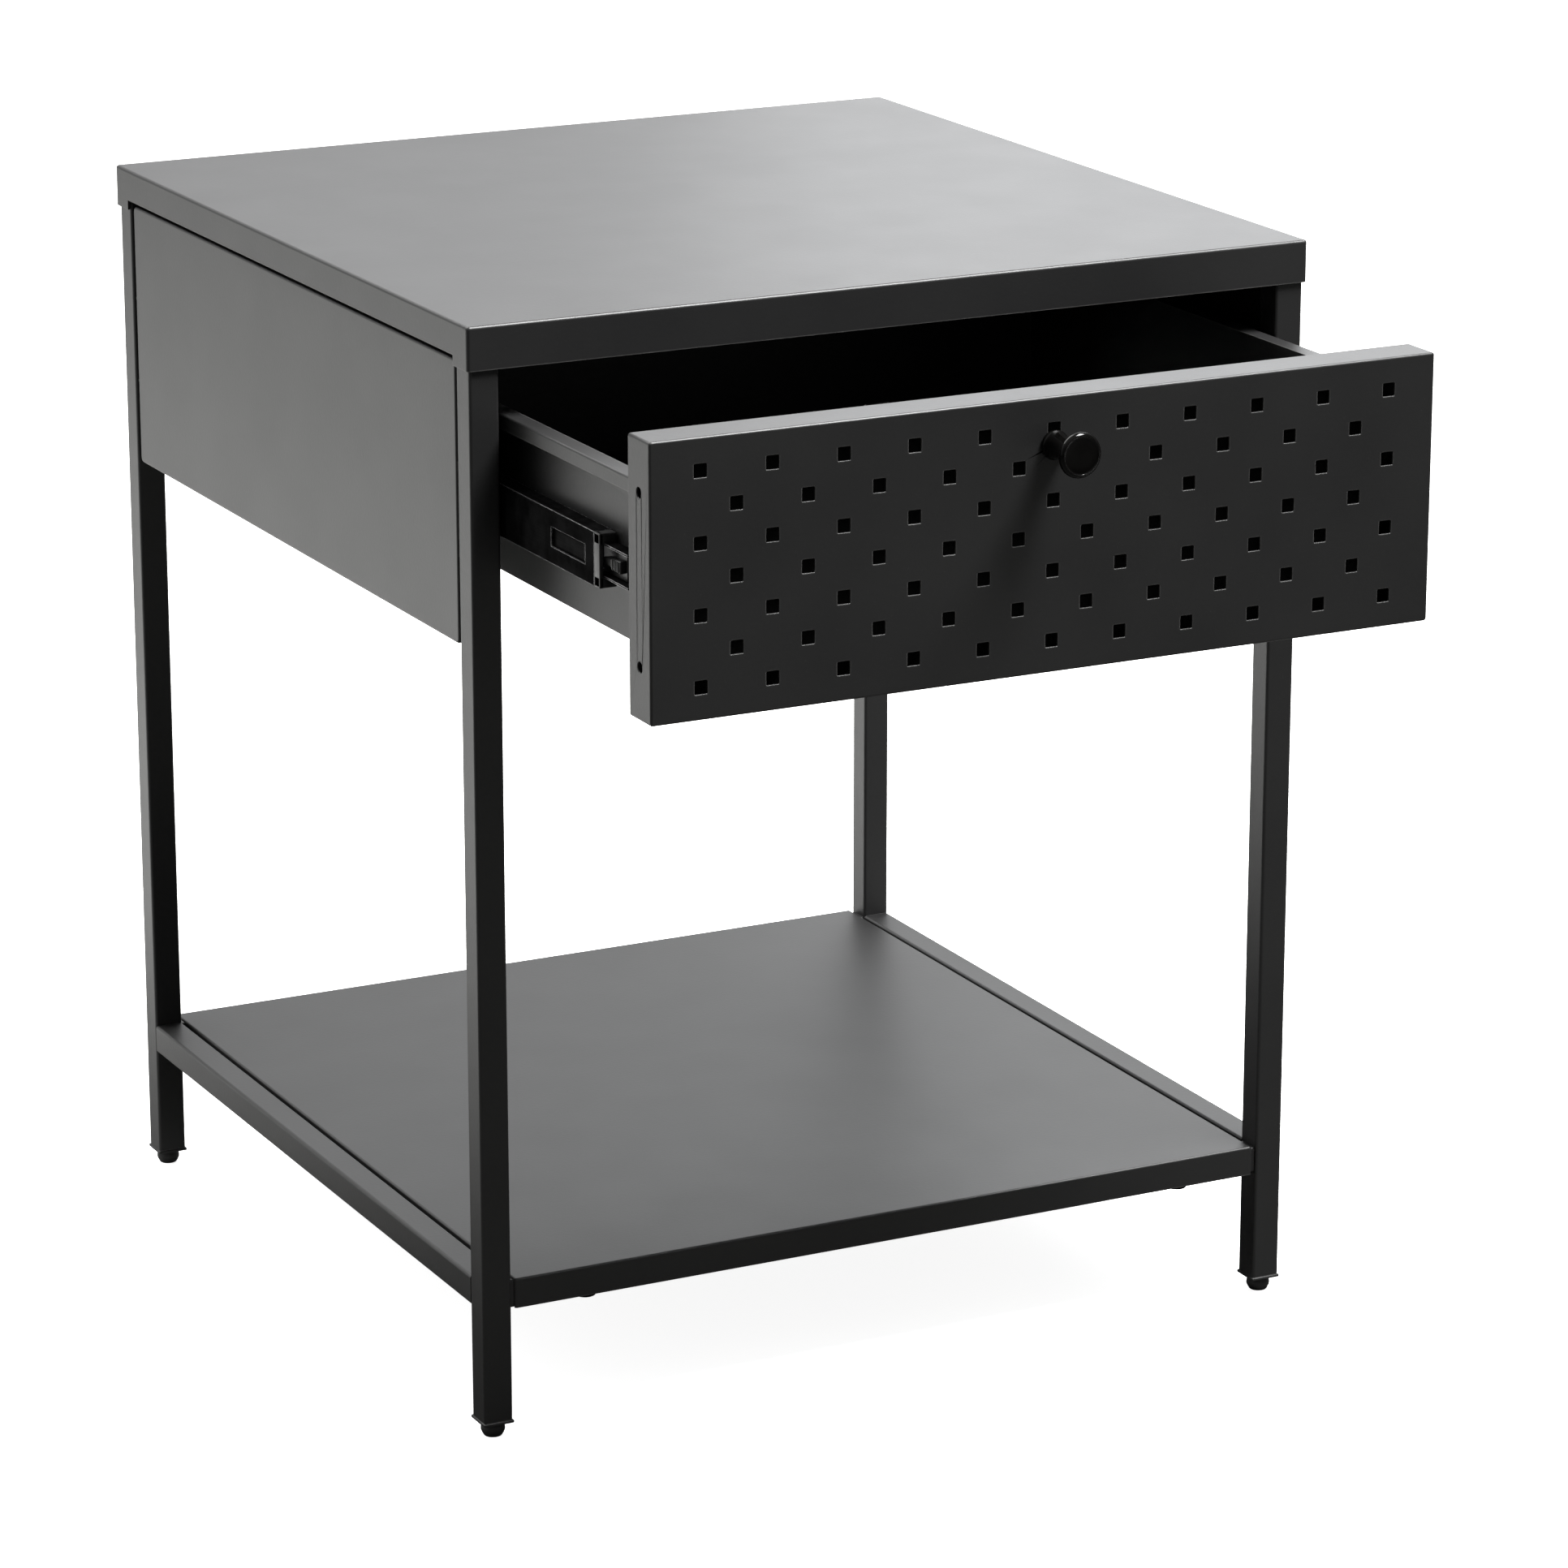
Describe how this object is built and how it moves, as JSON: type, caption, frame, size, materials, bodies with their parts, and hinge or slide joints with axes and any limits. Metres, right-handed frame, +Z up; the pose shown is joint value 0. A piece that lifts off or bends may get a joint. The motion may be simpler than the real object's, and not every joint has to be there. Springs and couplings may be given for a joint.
{
  "type": "side table with drawer",
  "caption": "Square metal side table on tube legs with a perforated-front drawer on ball-bearing slides and a low shelf.",
  "frame": {"origin": "on the floor, at mid width, midway between the knob's face and the back of the cap with the drawer open as it rests (150 mm)", "axes": "+X to the right seen from the front, +Y from the drawer's front to the back, +Z up"},
  "size_m": [0.45, 0.6244, 0.55],
  "materials": {
    "powder_coat": "satin black powder coat with a fine orange peel",
    "knob_gloss": "glossy black lacquer on turned metal",
    "glide_plastic": "moulded black plastic",
    "slide_plastic": "moulded black plastic, smooth",
    "slide_steel": "rolled steel with a thin black coat",
    "ball_steel": "polished bearing steel with a film of grease",
    "retainer_steel": "pressed zinc-plated strip",
    "fastener_steel": "black zinc-plated steel"
  },
  "bodies": {
    "frame": {"cabinet_slide_screws": "fastener_steel", "front_left_foot": "glide_plastic", "front_left_leg": "powder_coat", "front_right_foot": "glide_plastic", "front_right_leg": "powder_coat", "left_side_panel": "powder_coat", "left_slide_cabinet_member": "slide_steel", "left_slide_support": "powder_coat", "lower_left_rail": "powder_coat", "lower_right_rail": "powder_coat", "rear_left_foot": "glide_plastic", "rear_left_leg": "powder_coat", "rear_panel": "powder_coat", "rear_right_foot": "glide_plastic", "rear_right_leg": "powder_coat", "right_side_panel": "powder_coat", "right_slide_cabinet_member": "slide_steel", "right_slide_support": "powder_coat", "shelf_front_rail": "powder_coat", "shelf_panel": "powder_coat", "shelf_rear_rail": "powder_coat", "shelf_screws": "fastener_steel", "shelf_stiffener": "powder_coat", "shelf_weld_nuts": "fastener_steel", "top_panel": "powder_coat", "top_screws": "fastener_steel", "top_weld_nuts": "fastener_steel", "upper_front_rail": "powder_coat", "upper_left_rail": "powder_coat", "upper_rear_rail": "powder_coat", "upper_right_rail": "powder_coat"},
    "drawer": {"drawer_front": "powder_coat", "drawer_front_backing": "powder_coat", "drawer_front_screws": "fastener_steel", "drawer_front_wall": "powder_coat", "drawer_rear_wall": "powder_coat", "drawer_slide_screws": "fastener_steel", "drawer_tray": "powder_coat", "knob": "knob_gloss", "knob_screw": "fastener_steel", "left_slide_drawer_member": "slide_steel", "left_slide_latch": "slide_plastic", "right_slide_drawer_member": "slide_steel", "right_slide_latch": "slide_plastic", "tray_floor_rivets": "fastener_steel"},
    "left_slide_middle": {"left_slide_bumper": "slide_plastic", "left_slide_middle_member": "slide_steel"},
    "right_slide_middle": {"right_slide_bumper": "slide_plastic", "right_slide_middle_member": "slide_steel"},
    "left_outer_retainer": {"left_outer_ball_retainer": "retainer_steel", "left_outer_balls": "ball_steel"},
    "right_outer_retainer": {"right_outer_ball_retainer": "retainer_steel", "right_outer_balls": "ball_steel"},
    "left_inner_retainer": {"left_inner_ball_retainer": "retainer_steel", "left_inner_balls": "ball_steel"},
    "right_inner_retainer": {"right_inner_ball_retainer": "retainer_steel", "right_inner_balls": "ball_steel"}
  },
  "joints": [
    {"name": "drawer_slide", "type": "slide", "parent": "frame", "child": "drawer", "axis": [0, -1, 0], "range_m": [-0.15, 0.1]},
    {"name": "left_slide_middle_travel", "type": "slide", "parent": "frame", "child": "left_slide_middle", "axis": [0, -1, 0], "range_m": [-0.126, 0.084]},
    {"name": "right_slide_middle_travel", "type": "slide", "parent": "frame", "child": "right_slide_middle", "axis": [0, -1, 0], "range_m": [-0.126, 0.084]},
    {"name": "left_outer_retainer_travel", "type": "slide", "parent": "frame", "child": "left_outer_retainer", "axis": [0, -1, 0], "range_m": [-0.063, 0.042]},
    {"name": "right_outer_retainer_travel", "type": "slide", "parent": "frame", "child": "right_outer_retainer", "axis": [0, -1, 0], "range_m": [-0.063, 0.042]},
    {"name": "left_inner_retainer_travel", "type": "slide", "parent": "frame", "child": "left_inner_retainer", "axis": [0, -1, 0], "range_m": [-0.138, 0.092]},
    {"name": "right_inner_retainer_travel", "type": "slide", "parent": "frame", "child": "right_inner_retainer", "axis": [0, -1, 0], "range_m": [-0.138, 0.092]}
  ],
  "couplings": [
    {"joint": "left_slide_middle_travel", "follows": "drawer_slide", "ratio": 0.84},
    {"joint": "right_slide_middle_travel", "follows": "drawer_slide", "ratio": 0.84},
    {"joint": "left_outer_retainer_travel", "follows": "drawer_slide", "ratio": 0.42},
    {"joint": "right_outer_retainer_travel", "follows": "drawer_slide", "ratio": 0.42},
    {"joint": "left_inner_retainer_travel", "follows": "drawer_slide", "ratio": 0.92},
    {"joint": "right_inner_retainer_travel", "follows": "drawer_slide", "ratio": 0.92}
  ]
}
